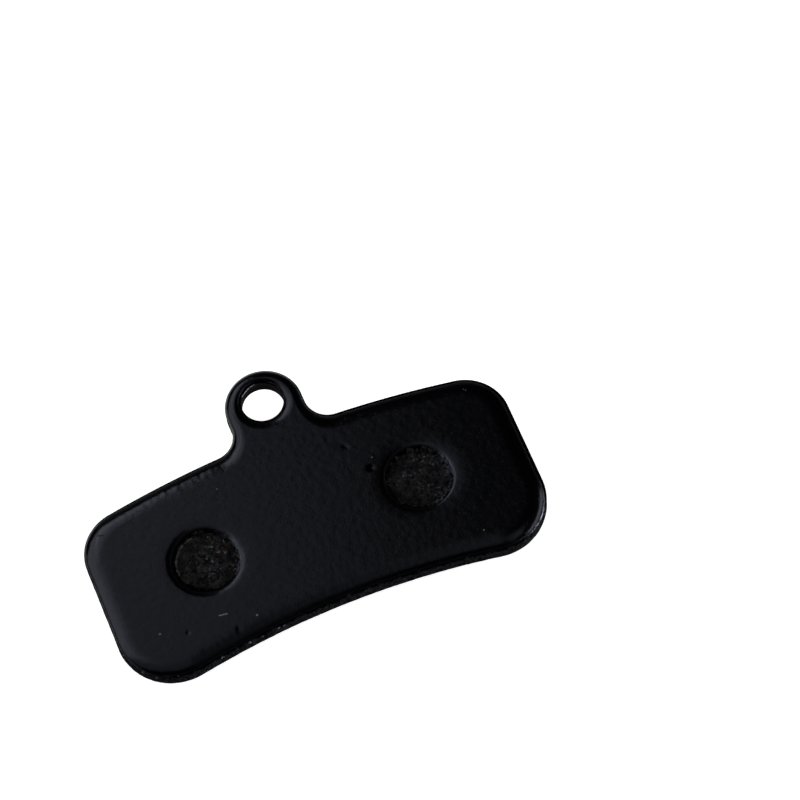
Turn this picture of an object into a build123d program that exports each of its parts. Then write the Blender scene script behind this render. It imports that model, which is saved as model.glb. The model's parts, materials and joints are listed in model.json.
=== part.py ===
"""Bicycle disc brake pad: a stamped steel backing plate with a friction lining moulded onto it.

The pad lies on its friction face. The origin is the middle of that face, +X runs along the pad,
+Y points out of the wheel towards the ear, and +Z points from the lining to the back of the plate.
All sizes are in millimetres.
"""
from build123d import *
import os

# Backing plate: its long edges are arcs about the wheel axle
plate_length = 42.0
plate_thickness = 2.0
plate_outer_radius = 101.5
plate_inner_radius = 83.5
plate_upper_corner_radius = 4.4
plate_lower_corner_radius = 5.35
edge_roll_radius = 0.9
edge_break = 0.15

# Ear that hangs on the retaining pin: rises are heights above the crown of the plate
ear_radius = 3.7
ear_rise = 3.1
ear_root_radius = 2.3
pin_hole_rise = 3.55
pin_hole_diameter = 4.0
pin_hole_roll_width = 0.55
pin_hole_roll_depth = 0.4

# Keying holes that the lining is moulded through
key_hole_spacing = 21.2
key_hole_diameter = 5.8
key_hole_roll_width = 0.85
key_hole_roll_depth = 0.5
plug_recess = 0.55

# Friction lining: margins are what its face leaves bare along the edges of the plate
lining_thickness = 1.9
lining_upper_margin = 2.5
lining_lower_margin = 1.35
lining_end_margin = 1.95
lining_upper_corner_radius = 3.0
lining_lower_corner_radius = 3.5
lining_draft_angle = 3.0

# Sizes that follow from those above
lining_outer_radius = plate_outer_radius - lining_upper_margin
lining_inner_radius = plate_inner_radius + lining_lower_margin
lining_length = plate_length - 2 * lining_end_margin
axle_y = -(lining_outer_radius + lining_inner_radius) / 2
plate_crown_y = axle_y + plate_outer_radius
ear_y = plate_crown_y + ear_rise
pin_hole_y = plate_crown_y + pin_hole_rise
key_hole_x = key_hole_spacing / 2
key_hole_arc_radius = (plate_outer_radius + plate_inner_radius) / 2
key_hole_y = axle_y + (key_hole_arc_radius**2 - key_hole_x**2) ** 0.5
plate_face_z = lining_thickness
plate_back_z = plate_face_z + plate_thickness


def arched_band(length, outer_radius, inner_radius, upper_corner_radius, lower_corner_radius):
    """Flat band between two arcs about the axle, cut off square at both ends, with rounded corners."""
    ring = Circle(outer_radius) - Circle(inner_radius)
    square_ends = Rectangle(length, outer_radius, align=(Align.CENTER, Align.MIN))
    band = Pos(0, axle_y) * (ring & square_ends)
    lower_corners = band.vertices().sort_by(Axis.Y)[:2]
    band = fillet(lower_corners, lower_corner_radius)
    upper_corners = band.vertices().filter_by(lambda corner: abs(corner.X) > length / 2 - upper_corner_radius)
    upper_corners = upper_corners.sort_by(Axis.Y)[-2:]
    return fillet(upper_corners, upper_corner_radius)


def plate_outline():
    """Outline of the plate: the arched body with the round-ended ear standing on its crown."""
    body = arched_band(
        plate_length,
        plate_outer_radius,
        plate_inner_radius,
        plate_upper_corner_radius,
        plate_lower_corner_radius,
    )
    body_middle_y = axle_y + key_hole_arc_radius
    ear_stem = Rectangle(2 * ear_radius, ear_y - body_middle_y, align=(Align.CENTER, Align.MIN))
    ear_head = Circle(ear_radius)
    outline = body + Pos(0, body_middle_y) * ear_stem + Pos(0, ear_y) * ear_head
    ear_roots = outline.vertices().sort_by_distance((0, plate_crown_y))[:2]
    return fillet(ear_roots, ear_root_radius)


def punched_hole(diameter, roll_width, roll_depth):
    """Space inside a hole punched through the plate, with its edge rolled over on the back face.

    The roll is a quarter of an ellipse, wider across the face than it is deep, as a punch leaves it.
    """
    radius = diameter / 2
    roll_foot_z = plate_back_z - roll_depth
    rim_radius = radius + roll_width
    roll = EllipticalCenterArc((rim_radius, roll_foot_z), roll_width, roll_depth, start_angle=90, arc_size=90)
    side = Polyline((radius, roll_foot_z), (radius, plate_face_z), (0, plate_face_z), (0, plate_back_z))
    mouth = Line((0, plate_back_z), (rim_radius, plate_back_z))
    section = make_face(Plane.XZ * (roll + side + mouth))
    return revolve(section, Axis.Z)


def key_holes():
    """Spaces inside the two keying holes, which lie on the middle arc of the plate."""
    hole = punched_hole(key_hole_diameter, key_hole_roll_width, key_hole_roll_depth)
    return [Pos(side * key_hole_x, key_hole_y) * hole for side in (-1, 1)]


def backing_plate():
    """Stamped plate: its back edges are rolled over, and its edges on the lining side are nearly sharp."""
    plate = Pos(0, 0, plate_face_z) * extrude(plate_outline(), plate_thickness)
    rolled_edges = plate.faces().sort_by(Axis.Z)[-1].outer_wire().edges()
    plate = fillet(rolled_edges, edge_roll_radius)
    broken_edges = plate.faces().sort_by(Axis.Z)[0].outer_wire().edges()
    plate = chamfer(broken_edges, edge_break)
    plate -= Pos(0, pin_hole_y) * punched_hole(pin_hole_diameter, pin_hole_roll_width, pin_hole_roll_depth)
    for hole in key_holes():
        plate -= hole
    return plate


def friction_lining():
    """Moulded block with drafted walls, and two plugs that fill the keying holes to below the back face."""
    face = arched_band(
        lining_length,
        lining_outer_radius,
        lining_inner_radius,
        lining_upper_corner_radius,
        lining_lower_corner_radius,
    )
    lining = extrude(face, lining_thickness, taper=-lining_draft_angle)
    plug_top = Plane.XY.offset(plate_back_z - plug_recess)
    for hole in key_holes():
        lining += split(hole, bisect_by=plug_top, keep=Keep.BOTTOM)
    return lining


plate = backing_plate()
lining = friction_lining()

os.makedirs("parts", exist_ok=True)
export_step(plate, "parts/backing_plate.step")
export_step(lining, "parts/friction_lining.step")
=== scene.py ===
"""Surfaces, finishes and studio stage of a bicycle disc brake pad.

The packed solids are the frame, and the two pieces made here take the places of its two nodes.
Lengths are in metres. The pad lies on its friction face, with the back of the plate upwards,
+X along the pad and +Y towards the ear.
"""
import json
import math
from collections import namedtuple

import bmesh
import bpy
import numpy as np
from bpy.props import FloatProperty, FloatVectorProperty, PointerProperty
from mathutils import Color, Matrix, Vector


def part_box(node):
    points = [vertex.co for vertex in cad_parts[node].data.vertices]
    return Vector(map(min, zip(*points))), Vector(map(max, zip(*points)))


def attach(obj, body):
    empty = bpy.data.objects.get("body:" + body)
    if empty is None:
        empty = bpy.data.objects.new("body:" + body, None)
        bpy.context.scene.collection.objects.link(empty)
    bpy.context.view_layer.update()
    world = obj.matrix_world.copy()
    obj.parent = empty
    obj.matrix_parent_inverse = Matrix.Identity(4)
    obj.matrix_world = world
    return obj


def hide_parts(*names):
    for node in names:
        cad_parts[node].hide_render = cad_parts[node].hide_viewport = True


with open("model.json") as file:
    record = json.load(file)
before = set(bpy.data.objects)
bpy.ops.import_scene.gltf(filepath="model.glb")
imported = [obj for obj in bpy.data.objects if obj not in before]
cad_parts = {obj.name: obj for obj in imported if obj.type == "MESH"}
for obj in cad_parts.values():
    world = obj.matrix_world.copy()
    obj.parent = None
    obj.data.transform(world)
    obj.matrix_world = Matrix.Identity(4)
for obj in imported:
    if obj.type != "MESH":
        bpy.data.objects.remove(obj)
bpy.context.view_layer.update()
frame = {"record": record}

bl_info = {
    "name": "Disc Brake Pad",
    "version": (1, 0, 0),
    "blender": (4, 5, 0),
    "location": "3D View > Sidebar > Brake Pad",
    "description": "Builds the painted plate, the friction lining and the stage of a bicycle disc brake pad",
    "category": "Object",
}

MM = 0.001
PLATE_LOW, PLATE_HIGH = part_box("backing_plate")
PIN_HOLE = next(mount for mount in frame["record"]["mounts"] if mount["name"] == "retaining_pin_hole")
PIN_HOLE_Y = PIN_HOLE["pos_m"][1]
PLATE_FACE_Z = PLATE_LOW.z
PLATE_BACK_Z = PLATE_HIGH.z
PLUG_TOP_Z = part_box("friction_lining")[1].z

# Spacing of the points along the outlines, and rows of points across each kind of sheet
OUTLINE_STEP = 0.16 * MM
ROLL_ROWS = 14
DISH_ROWS = 5
WALL_ROWS = 8
FACE_ROWS = 36
EAR_ROWS = 6
PLUG_ROWS = 40
FLAT_ROWS = 6
HIDDEN_ROWS = 2
MERGE_DISTANCE = 1e-7
SHARP_ANGLE = math.radians(40)
FEWEST_POINTS = 4
DISPLAY_WHITE = 255
WHITE = (1.0, 1.0, 1.0)
BLACK = (0.0, 0.0, 0.0)
MIRROR = np.array([-1.0, 1.0])

# Attribute that says how dull the paint is: 0 is glossy, and 1 and more is matt. Below 0 the paint takes the
# scuff colour, which is also a painted highlight, and at 2 the pin hole's wall is painted paler as painted
# light.
# On the plugs it rises towards the left rim, where painted shade leaves fewer crumbs, it is over 1 in the
# groove, which is painted dark as shade, and below 0 on the ragged rim of the right plug, which carries a
# painted highlight.
TONE = "tone"
KEY_LIP_TONE = -0.4
PIN_LIP_TONE = 0.9
LIP_TONE = 1.6
BORE_TONE = 2.0
EDGE_TONE = 0.9
FOOT_TONE = 0.5
RIM_TONE = 2.0
PLUG_FINISH = 1
LIP_FACING = (-0.7, -0.4)
FOOT_FACING = (-0.9, -0.97)

Band = namedtuple("Band", "half_length outer inner upper_corner lower_corner axle_y")
Loop = namedtuple("Loop", "points normals")
Sheet = namedtuple("Sheet", "points finish tone", defaults=[0, 1.0])
Hole = namedtuple("Hole", "centre radius roll_width roll_depth flare flare_angle dish dish_width")
Dent = namedtuple("Dent", "x y z radius depth")
Speck = namedtuple("Speck", "x y z radius")
Field = namedtuple("Field", "cell seed mean swing low high", defaults=[0.0, 1.0, -np.inf, np.inf])
Plug = namedtuple("Plug", "side ragged gap pale edge")

# Random relief of the sheets: width of a grain in millimetres, seed, mean, swing and limits
NOISE_PERIOD = 256
NOISE_LAYERS = 3
NOISE_TURN = 0.6
NOISE_FADE = 1.6
EDGE_TEETH = Field(0.35, 3)
TOOTH_LEAST = 0.01
TOOTH_EXTRA = 0.02
EDGE_TEARS = Field(0.6, 5, 0.5, 0.5, 0.0, 1.0)
TEAR_STRETCH = 0.4
WALL_GRAIN = Field(0.7, 11)
WALL_CRUMBLE = Field(0.5, 17, low=0.0)
CRUMBLE_RISE = 0.3
FLASH_EDGE = Field(2.2, 31, 0.45, 0.35, 0.1, 1.0)
FLASH_ROOT = Field(1.3, 41, 0.55, 0.4, 0.2, 1.0)
FLASH_LUMPS = Field(0.8, 53, swing=0.5)
FLASH_LEAST = 0.6
FLASH_ENDS = 1.2
FLASH_EAR = 1.2
FLASH_EAR_WIDTH = 3.5 * MM
FLASH_CURVE = 1.5
FACE_CROWDING = 1.5

# Plugs: side, angle of the ragged side, share of the groove, how much painted highlight the rim of the ragged
# side gets, and where the rim starts
PLUGS = (
    Plug(1, math.radians(-30), 0.0, 1.0, Field(0.5, 67, 0.88, 0.07, 0.76, 0.97)),
    Plug(-1, math.radians(30), 0.8, 0.0, Field(0.5, 67, 0.91, 0.07, 0.76, 0.97)),
)
PLUG_RELIEF = Field(0.7, 23)
PLUG_CLIMB = Field(0.4, 71, 0.35, 0.9, 0.0, 1.4)
PLUG_GROOVE = Field(0.45, 61, 0.4, 0.5, 0.0, 1.0)
PLUG_CROWDING = 1.3
CLIMB_SIDE = (-0.625, 0.625)
GROOVE_SIDE = (-1 / 6, -1.0)
PALE_HIGHLIGHT_SIDE = (0.8 / 3, 2.8 / 3)
SHADE_SIDE = (0.75, -0.5)


def row_of(first, last, count):
    """Evenly spaced marks from one mark to another."""
    return [Speck(*place) for place in np.linspace(first, last, count)]


def arc_of(centre, radius, start, end, count):
    """Evenly spaced marks on a level arc round a mark, between two angles in degrees."""
    angles = np.radians(np.linspace(start, end, count))
    return [centre._replace(x=centre.x + radius * np.cos(a), y=centre.y + radius * np.sin(a)) for a in angles]


# Marks on the plate and on one plug, in millimetres
DENTS = (
    Dent(6.7, 2.55, 3.9, 0.24, 0.05),
    Dent(5.4, 5.55, 3.9, 0.22, 0.03),
    Dent(-14.6, -6.1, 3.9, 0.2, 0.03),
    Dent(-10.2, -7.6, 3.85, 0.2, 0.05),
)
SPECKS = (
    *row_of(Speck(-11.4, -5.72, 3.9, 0.09), Speck(-10.7, -5.81, 3.9, 0.09), 8),
    Speck(-10.75, -3.56, 3.6, 0.13),
    Speck(-8.23, -7.02, 3.9, 0.13),
    Speck(-17.04, -5.26, 3.9, 0.12),
    Speck(-7.12, 6.21, 3.9, 0.07),
    Speck(17.7, 6.6, 3.9, 0.08),
    Speck(17.85, 6.45, 3.9, 0.08),
    Speck(13.97, -7.42, 3.9, 0.09),
    Speck(7.27, 3.5, 3.9, 0.08),
)
VOIDS = (
    Speck(6.62, 2.4, 3.9, 0.34),
    Speck(6.78, 2.75, 3.9, 0.3),
    *row_of(Speck(-18.87, 6.16, 3.78, 0.09), Speck(-18.43, 5.99, 3.85, 0.07), 6),
    *row_of(Speck(-20.66, 2.07, 3.7, 0.1), Speck(-20.2, 1.8, 3.85, 0.08), 6),
)
# Painted glint: bright steel streak on the upper-left wall of the pin hole
GLINT_STREAK = (
    *row_of(Speck(-1.54, 14.41, 3.33, 0.12), Speck(-1.2, 14.73, 3.15, 0.16), 5),
    *row_of(Speck(-0.95, 14.89, 3.15, 0.16), Speck(-0.1, 15.12, 3.33, 0.1), 6),
)
# Bare-steel chips on the lower edge, painted bright as glints
GLINT_CHIPS = (
    Speck(-16.87, -9.35, 3.15, 0.3),
    Speck(-16.6, -9.4, 2.85, 0.2),
    Speck(-19.7, -7.79, 3.1, 0.2),
    Speck(-12.52, -9.37, 3.1, 0.2),
    Speck(-9.74, -8.97, 3.1, 0.2),
    Speck(-8.46, -8.82, 3.1, 0.15),
    Speck(-6.77, -8.64, 3.1, 0.19),
    Speck(-6.22, -8.72, 3.1, 0.19),
)
POLISHED = (Speck(19.3, -8.2, 3.5, 4.0),)
# Painted highlight: arc on the left rim of the left plug
RIM_HIGHLIGHT_MARKS = arc_of(Speck(-10.6, -0.03, 3.4, 0.16), 2.78, 100, 185, 30)
WARM_PATCHES = (Speck(-8.7, 0.5, 3.4, 0.9),)


def number(name, default, description, **kind):
    """A number that a user can change."""
    return FloatProperty(name=name, description=description, default=default, **kind)


def size(name, default, description):
    """A length that a user can change, given in millimetres."""
    return number(name, default * MM, description, min=0.0, precision=6, unit="LENGTH")


def share(name, default, description):
    """A share from nothing to one that a user can change."""
    return number(name, default, description, min=0.0, max=1.0, subtype="FACTOR")


def turn(name, default, description):
    """An angle that a user can change, given in degrees."""
    return number(name, math.radians(default), description, subtype="ANGLE")


def colour(name, red, green, blue, description):
    """A colour that a user can change, given as display values from 0 to 255 and kept as linear light."""
    display = Color((red / DISPLAY_WHITE, green / DISPLAY_WHITE, blue / DISPLAY_WHITE))
    linear = tuple(display.from_srgb_to_scene_linear())
    return FloatVectorProperty(
        name=name, description=description, default=linear, size=3, min=0.0, max=1.0, subtype="COLOR"
    )


class PlateSizes(bpy.types.PropertyGroup):
    """Sizes of the stamped plate"""

    length: size("Length", (PLATE_HIGH.x - PLATE_LOW.x) / MM, "From end to end")
    outer_radius: size("Outer arc", 101.5, "Radius of the upper edge about the wheel axle")
    inner_radius: size("Inner arc", 83.5, "Radius of the lower edge about the wheel axle")
    upper_corner: size("Upper corners", 4.4, "Radius of the two corners beside the ear")
    lower_corner: size("Lower corners", 5.35, "Radius of the two corners nearer the axle")
    roll_width: size("Edge roll width", 1.9, "Width of the rolled back edge")
    roll_depth: size("Edge roll depth", 0.86, "Depth of the rolled back edge")
    ear_roll_width: size("Ear roll width", 0.95, "Width of the roll round the ear")
    ear_roll_depth: size("Ear roll depth", 0.75, "Depth of the roll round the ear")
    edge_break: size("Edge break", 0.06, "Small chamfer of the edge on the lining side")
    edge_scar: size("Edge scars", 0.025, "Depth of the tears in the sheared edge")
    ear_radius: size("Ear", 3.7, "Radius of the ear's round head")
    ear_root: size("Ear root", 2.3, "Radius of the hollow between ear and body")
    pin_rise: size("Pin hole rise", 3.55, "From the crown of the upper edge to the pin hole")
    pin_radius: size("Pin hole", PIN_HOLE["dims"]["r_mm"], "Radius of the hole for the retaining pin")
    pin_roll_width: size("Pin hole roll width", 0.34, "Width of the rolled lip of the pin hole at its top")
    pin_flare: size("Pin hole flare", 0.76, "Extra width of that lip towards the body")
    pin_roll_depth: size("Pin hole roll depth", 0.5, "Depth of the rolled lip of the pin hole")
    key_spacing: size("Keying hole spacing", 21.2, "Between the centres of the two keying holes")
    key_radius: size("Keying hole", 2.9, "Radius of each keying hole")
    key_roll_width: size("Keying hole roll width", 0.85, "Width of the rolled lip of a keying hole")
    key_roll_depth: size("Keying hole roll depth", 0.48, "Depth of the rolled lip of a keying hole")
    right_roll_width: size("Right roll width", 0.5, "Width of the right-hand hole's lip towards its end")
    left_dish: size("Left dish", 0.03, "Depth of the shallow dish round the left keying hole")
    right_dish: size("Right dish", 0.05, "Depth of the shallow dish round the right keying hole")
    dish_width: size("Dish width", 1.9, "Reach of those dishes beyond the keying holes")


class LiningSizes(bpy.types.PropertyGroup):
    """Sizes of the moulded friction lining"""

    upper_margin: size("Upper margin", 2.5, "Plate left bare above the friction face")
    lower_margin: size("Lower margin", 1.35, "Plate left bare below the friction face")
    end_margin: size("End margin", 1.95, "Plate left bare at each end of the friction face")
    upper_corner: size("Upper corners", 3.0, "Radius of the upper corners of the face")
    lower_corner: size("Lower corners", 3.5, "Radius of the lower corners of the face")
    draft: turn("Draft", 3.0, "Lean of the moulded walls")
    grain: size("Grain", 0.08, "Height of the grains on the plugs and the moulded walls")
    climb: size("Climb", 0.24, "How far compound has crept up the lips of the keying holes")
    groove: size("Groove", 0.4, "How far the plugs have shrunk from the keying holes")
    flash_width: size("Flash width", 0.7, "Width of the skin of compound squeezed out along the root")
    flash_height: size("Flash height", 0.3, "Height of that skin at the root")


class Finishes(bpy.types.PropertyGroup):
    """Colours, gloss and texture of the finishes"""

    paint: colour("Paint", 2, 2, 3, "Black paint of the plate")
    sheen: colour("Sheen", 227, 232, 255, "Tint of the light that the paint throws back")
    gloss: share("Gloss", 0.26, "Strength of the paint's reflections on the back")
    polish: share("Polish", 0.9, "Strength of the reflections on the polished corner")
    roughness: share("Paint roughness", 0.15, "How much the back scatters its reflections")
    edge_roughness: share("Edge roughness", 0.6, "How much the sheared edges scatter their reflections")
    edge: colour("Sheared edge", 39, 40, 43, "Thin dusty paint on the sheared edges")
    peel: size("Orange peel", 0.6, "Width of one dimple of the orange peel")
    peel_depth: size("Orange peel depth", 0.013, "Depth of the orange peel")
    pit: size("Pits", 0.3, "Width of one pit of the paint")
    pit_depth: size("Pit depth", 0.006, "Depth of the pits")
    dust: colour("Dust", 90, 92, 96, "Specks of dust on the paint")
    # Scuff colour that is also a painted highlight, on the left-facing lips of the keying holes and the
    # ragged rim of the right plug
    scuff_and_highlight: colour("Scuffs", 56, 58, 68, "Scuffed paint on the lips of the keying holes")
    # Painted light: paler paint that brightens the dim wall of the pin hole
    bore_painted_light: colour("Pin hole wall", 58, 57, 58, "Worn paint inside the pin hole")
    # Bare steel, also painted glints at the listed spots on the lower edge and in the pin hole
    steel: colour("Bare steel", 190, 192, 198, "Steel that shows in chips of the paint")
    compound: colour("Ground compound", 98, 83, 78, "Ground face of the lining")
    blush: colour("Blush", 112, 88, 80, "Redder patches of the ground face")
    smudge: colour("Smudges", 52, 54, 60, "Dark smudges on the ground face")
    silver: colour("Silver flecks", 176, 174, 172, "Pale metal flecks in the compound")
    brass: colour("Brass flecks", 160, 138, 88, "Yellow metal flecks in the compound")
    copper: colour("Copper flecks", 132, 80, 70, "Red metal flecks in the compound")
    moulded: colour("Moulded compound", 44, 38, 34, "Moulded walls and flash of the lining")
    flash: colour("Flash", 72, 55, 46, "Reddish patches of the squeezed-out flash")
    plug: colour("Plugs", 27, 27, 28, "Rough plug faces seen from the back")
    warm: colour("Warm patch", 27, 17, 14, "Reddish patch on one plug")
    crumb: colour("Crumbs", 40, 40, 44, "Paler crumbs on the plug faces")
    # Painted highlight: the light arc on the left plug's rim
    rim: colour("Plug rim", 62, 60, 57, "Light arc on the rim of one plug")


class StageSettings(bpy.types.PropertyGroup):
    """Camera and floor"""

    azimuth: turn("Azimuth", 15.33, "Turn of the camera round the pad")
    elevation: turn("Elevation", 64.17, "Height of the camera above the floor")
    roll: turn("Roll", -7.37, "Turn of the camera about its own line of sight")
    distance: size("Distance", 359.7, "From the camera to the point it looks at")
    target_x: size("Target X", 11.85, "Place on the back that the camera looks at, along the pad")
    target_y: size("Target Y", 7.91, "Place on the back that the camera looks at, towards the ear")
    lens: number("Lens", 173.6, "Focal length in millimetres", min=0.0)
    floor: colour("Floor", 238, 238, 238, "Pale studio floor")
    floor_lift: share("Floor lift", 0.85, "Light added to the floor where it is seen")
    surround: share("Surround", 0.005, "Strength of the dim light from all round")


def arc(centre, radius, start, end, outward=1):
    """Points and outward normals along an arc; outward is -1 where the pad lies outside the circle."""
    count = max(FEWEST_POINTS, round(abs(end - start) * radius / OUTLINE_STEP))
    angle = np.linspace(start, end, count, endpoint=False)
    radial = np.stack([np.cos(angle), np.sin(angle)], axis=1)
    return np.array(centre) + radius * radial, outward * radial


def straight(start, end, normal):
    """Points and outward normals along a straight stretch."""
    start, end = np.array(start), np.array(end)
    count = max(FEWEST_POINTS, round(np.linalg.norm(end - start) / OUTLINE_STEP))
    along = np.linspace(0, 1, count, endpoint=False)[:, None]
    return start + along * (end - start), np.tile(np.array(normal, float), (count, 1))


def band_flank(band, start):
    """Right-hand flank of a band, from the upper arc at the angle start, round both corners, to the foot.

    Each corner is an arc that touches the square end and the long arc, so its centre lies one corner radius
    inside both. The foot is the middle of the lower arc.
    """
    upper_x = band.half_length - band.upper_corner
    upper_rise = math.sqrt((band.outer - band.upper_corner) ** 2 - upper_x**2)
    upper = (upper_x, band.axle_y + upper_rise)
    upper_touch = math.atan2(upper_rise, upper_x)
    lower_x = band.half_length - band.lower_corner
    lower_rise = math.sqrt((band.inner + band.lower_corner) ** 2 - lower_x**2)
    lower = (lower_x, band.axle_y + lower_rise)
    lower_touch = math.atan2(lower_rise, lower_x)
    axle = (0.0, band.axle_y)
    return [
        arc(axle, band.outer, start, upper_touch),
        arc(upper, band.upper_corner, upper_touch, 0.0),
        straight((band.half_length, upper[1]), (band.half_length, lower[1]), (1, 0)),
        arc(lower, band.lower_corner, 0.0, lower_touch - math.pi),
        arc(axle, band.inner, lower_touch, math.pi / 2, outward=-1),
    ]


def ear_flank(plate, band):
    """Right-hand flank of the ear, from its top to the upper arc, and the angle where it meets that arc."""
    head_y = PLATE_HIGH.y - plate.ear_radius
    root_x = plate.ear_radius + plate.ear_root
    root_rise = math.sqrt((band.outer + plate.ear_root) ** 2 - root_x**2)
    root = (root_x, band.axle_y + root_rise)
    root_touch = math.atan2(root_rise, root_x)
    stretches = [
        arc((0.0, head_y), plate.ear_radius, math.pi / 2, 0.0),
        straight((plate.ear_radius, head_y), (plate.ear_radius, root[1]), (1, 0)),
        arc(root, plate.ear_root, math.pi, math.pi + root_touch, outward=-1),
    ]
    return stretches, root_touch


def closed_loop(stretches, foot_y):
    """Loop made of the right-hand stretches, the foot on the centre line and their mirror image."""
    points = np.concatenate([stretch[0] for stretch in stretches] + [[[0.0, foot_y]]])
    normals = np.concatenate([stretch[1] for stretch in stretches] + [[[0.0, -1.0]]])
    points[0, 0] = 0.0
    return Loop(
        np.concatenate([points, points[-2:0:-1] * MIRROR]),
        np.concatenate([normals, normals[-2:0:-1] * MIRROR]),
    )


def plate_band(plate):
    """Arched body of the plate."""
    axle_y = PIN_HOLE_Y - plate.pin_rise - plate.outer_radius
    corners = (plate.upper_corner, plate.lower_corner)
    return Band(plate.length / 2, plate.outer_radius, plate.inner_radius, *corners, axle_y)


def lining_band(plate, lining):
    """Outline of the friction face, set in from the plate by its margins."""
    body = plate_band(plate)
    return Band(
        body.half_length - lining.end_margin,
        body.outer - lining.upper_margin,
        body.inner + lining.lower_margin,
        lining.upper_corner,
        lining.lower_corner,
        body.axle_y,
    )


def key_hole(plate, side):
    """Keying hole on the middle arc of the plate; side is 1 on the right and -1 on the left."""
    band = plate_band(plate)
    x = plate.key_spacing / 2
    middle = (band.outer + band.inner) / 2
    centre = np.array([side * x, band.axle_y + math.sqrt(middle**2 - x**2)])
    narrowest = plate.right_roll_width if side > 0 else plate.key_roll_width
    roll = (narrowest, plate.key_roll_depth, plate.key_roll_width - narrowest)
    dish = plate.right_dish if side > 0 else plate.left_dish
    return Hole(centre, plate.key_radius, *roll, math.pi, dish, plate.dish_width)


def pin_hole(plate):
    """Hole in the ear."""
    centre = np.array([0.0, PIN_HOLE_Y])
    roll = (plate.pin_roll_width, plate.pin_roll_depth, plate.pin_flare)
    downwards = -math.pi / 2
    return Hole(centre, plate.pin_radius, *roll, downwards, 0.0, 0.0)


def lip_width(hole, direction):
    """Width of a hole's lip in each direction: it swells by a smooth step towards the flare's side."""
    lean = direction @ np.array([math.cos(hole.flare_angle), math.sin(hole.flare_angle)])
    return hole.roll_width + hole.flare * smooth((1 + lean) / 2)


def mouth_width(hole, direction):
    """Width in each direction of a hole's lip and of the dish round it."""
    return np.maximum(lip_width(hole, direction), hole.dish_width)


def directions(boundary, centre):
    """Directions from a centre to each point of a boundary."""
    offset = boundary - centre
    return offset / np.linalg.norm(offset, axis=1, keepdims=True)


def raised(flat, height):
    """Flat points lifted to a height, or to one height each."""
    tall = np.broadcast_to(height, flat.shape[:-1])
    return np.concatenate([flat, tall[..., None]], axis=-1)


def carried(loop, insets, heights):
    """Sheet of a profile carried along a loop: row k lies insets[k] inside the loop, at heights[k]."""
    flat = loop.points[None] - insets[..., None] * loop.normals[None]
    return raised(flat, heights)


def spokes(boundary, hole, radius, rows, crowding=1.0):
    """Flat sheet of straight spokes from a ring round a hole to a closed boundary round it.

    Rows of points lie at equal steps along each spoke, or crowd towards the ring where crowding is over 1.
    """
    direction = directions(boundary, hole.centre)
    rim = hole.centre + np.reshape(radius, (-1, 1)) * direction
    across = np.linspace(0, 1, rows + 1)[:, None, None] ** crowding
    return rim + across * (boundary - rim)


def lip_height(hole, width, radius):
    """Height of the mouth of a hole at a radius from its centre.

    The lip is a quarter ellipse of that width, and a parabola that is level at its rim adds the shallow dish.
    """
    beyond = radius - hole.radius
    across = np.clip(1 - beyond / width, 0, 1)
    height = PLATE_BACK_Z - hole.roll_depth * (1 - np.sqrt(1 - across**2))
    if hole.dish_width:
        height = height - hole.dish * np.clip(1 - beyond / hole.dish_width, 0, 1) ** 2
    return height


def lip_sheet(hole, direction, least, wall_tone):
    """Inside of a punched hole: the dish, the quarter ellipse of the lip, then the wall through the plate.

    The wall has one tone, and the lip is dull by its direction, from that least tone on.
    """
    lip = lip_width(hole, direction)
    mouth = mouth_width(hole, direction)
    angle = np.linspace(0, math.pi / 2, ROLL_ROWS + 1)[:, None]
    out = np.linspace(1, 0, DISH_ROWS, endpoint=False)[:, None]
    radii = hole.radius + np.concatenate([lip + (mouth - lip) * out, lip * (1 - np.sin(angle))])
    heights = lip_height(hole, lip, radii)
    down = np.linspace(0, 1, WALL_ROWS + 1)[1:, None]
    wall = heights[-1] + down * (PLATE_FACE_Z - heights[-1])
    radii = np.concatenate([radii, np.broadcast_to(radii[-1], wall.shape)])
    dull = np.tile(lip_dullness(-direction, least), (len(heights), 1))
    tone = np.concatenate([dull, np.full(wall.shape, wall_tone)])
    flat = hole.centre + radii[..., None] * direction
    return Sheet(raised(flat, np.concatenate([heights, wall])), tone=tone)


def lattice_noise(x, y, cell, seed):
    """Random field from -1 to 1: random values on a square lattice, blended by a smooth step in each cell."""
    values = np.random.default_rng(seed).uniform(-1, 1, (NOISE_PERIOD, NOISE_PERIOD))
    column, row = np.floor(x / cell).astype(int), np.floor(y / cell).astype(int)
    right, up = smooth(x / cell - column), smooth(y / cell - row)
    column, row = column % NOISE_PERIOD, row % NOISE_PERIOD
    next_column, next_row = (column + 1) % NOISE_PERIOD, (row + 1) % NOISE_PERIOD
    lower = values[column, row] * (1 - right) + values[next_column, row] * right
    upper = values[column, next_row] * (1 - right) + values[next_column, next_row] * right
    return lower * (1 - up) + upper * up


def grain_noise(x, y, cell, seed):
    """Grainy field from about -1 to 1: layers of smooth noise, each turned and half as wide as the last."""
    total = np.zeros(np.broadcast(x, y).shape)
    for layer in range(NOISE_LAYERS):
        angle = NOISE_TURN + layer
        along = x * math.cos(angle) + y * math.sin(angle)
        across = y * math.cos(angle) - x * math.sin(angle)
        total += lattice_noise(along, across, cell / 2**layer, seed + layer) / NOISE_FADE**layer
    return total


def field(x, y, kind):
    """Grainy field of one kind: its mean plus its swing times grain noise, held between its limits."""
    value = kind.mean + kind.swing * grain_noise(x, y, kind.cell * MM, kind.seed)
    return np.clip(value, kind.low, kind.high)


def smooth(value):
    """Smooth step from 0 to 1."""
    value = np.clip(value, 0, 1)
    return value * value * (3 - 2 * value)


def fade(value, start, end):
    """Smooth step from 0 at start to 1 at end."""
    return smooth((value - start) / (end - start))


def run_length(loop):
    """Distance along a loop up to each of its points."""
    step = np.linalg.norm(np.diff(loop.points, axis=0), axis=1)
    return np.concatenate([[0.0], np.cumsum(step)])


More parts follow.
